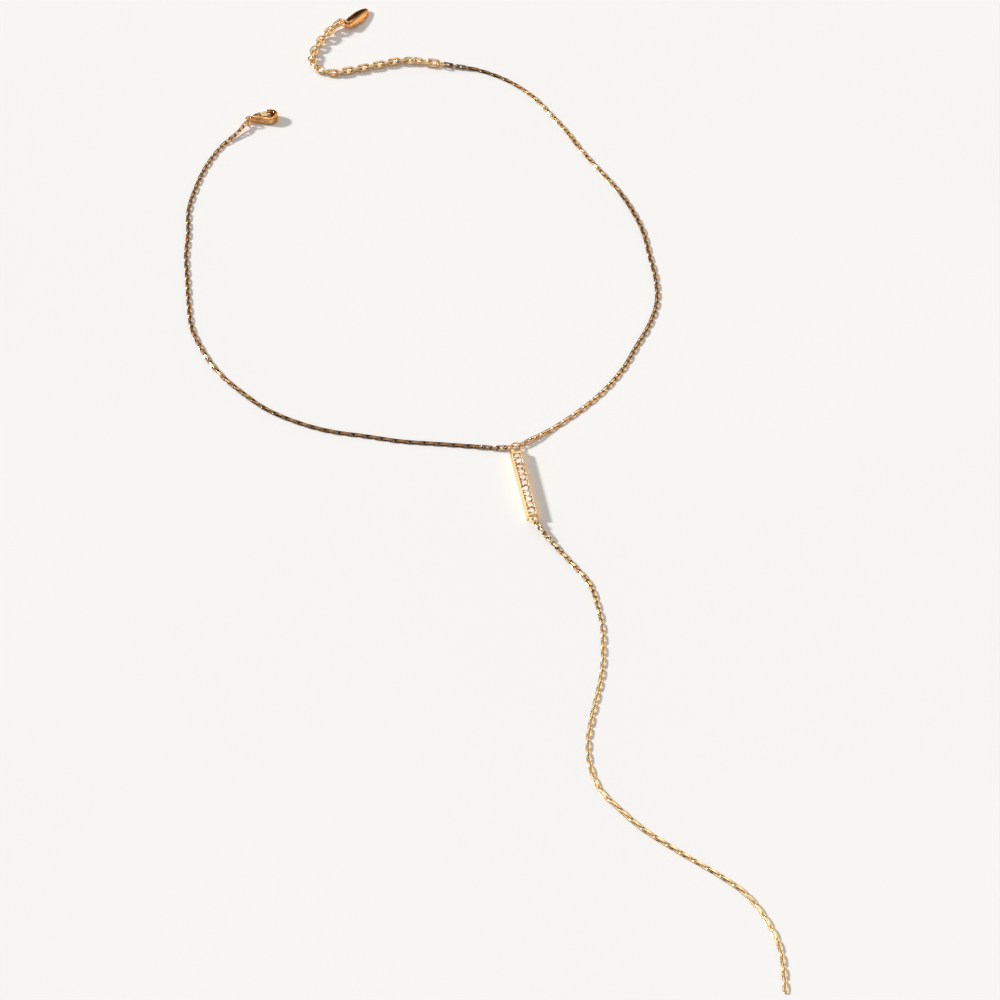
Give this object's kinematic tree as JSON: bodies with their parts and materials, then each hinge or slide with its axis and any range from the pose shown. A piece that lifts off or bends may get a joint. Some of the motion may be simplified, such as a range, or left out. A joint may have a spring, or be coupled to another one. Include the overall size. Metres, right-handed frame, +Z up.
{
  "type": "y necklace",
  "caption": "Y necklace lying open: fine cable chain joined at a stone-set bar with a free hanging drop of chain, closed by a lobster clasp and an extender with an oval tag.",
  "frame": {"origin": "middle of the bounding box in X and Y, on the surface that the necklace lies on", "axes": "+Z up from the surface, +Y along the necklace from the drop's free end to the extender's tag, +X to the right as seen from above with the tag at the top"},
  "size_m": [0.1602, 0.3724, 0.0031],
  "materials": {
    "fine_chain": "polished gold plate",
    "extender": "polished gold plate",
    "bar": "polished gold plate",
    "rings": "polished gold plate",
    "tag": "polished gold plate",
    "clasp": "polished gold plate",
    "lever": "polished gold plate",
    "stones": "cut and polished"
  },
  "bodies": {
    "necklace": {"chain_left": "fine_chain", "chain_right": "fine_chain", "chain_drop": "fine_chain", "extender_chain": "extender", "bar_setting": "bar", "top_ring": "rings", "drop_ring": "rings", "clasp_ring": "rings", "extender_ring": "rings", "tag_ring": "rings", "tag": "tag", "clasp_body": "clasp", "clasp_pin": "clasp", "stone_01": "stones", "stone_02": "stones", "stone_03": "stones", "stone_04": "stones", "stone_05": "stones", "stone_06": "stones", "stone_07": "stones", "stone_08": "stones", "stone_09": "stones", "stone_10": "stones", "stone_11": "stones"},
    "lever": {"clasp_lever": "lever"}
  },
  "joints": [
    {"name": "clasp_lever_hinge", "type": "hinge", "parent": "necklace", "child": "lever", "pos_m": [-0.06086, 0.13361, 0.0012], "axis": [0, 0, 1], "range_deg": [-20, 0], "stiffness_Nm_per_rad": 0.002, "springref_deg": 22.92}
  ]
}
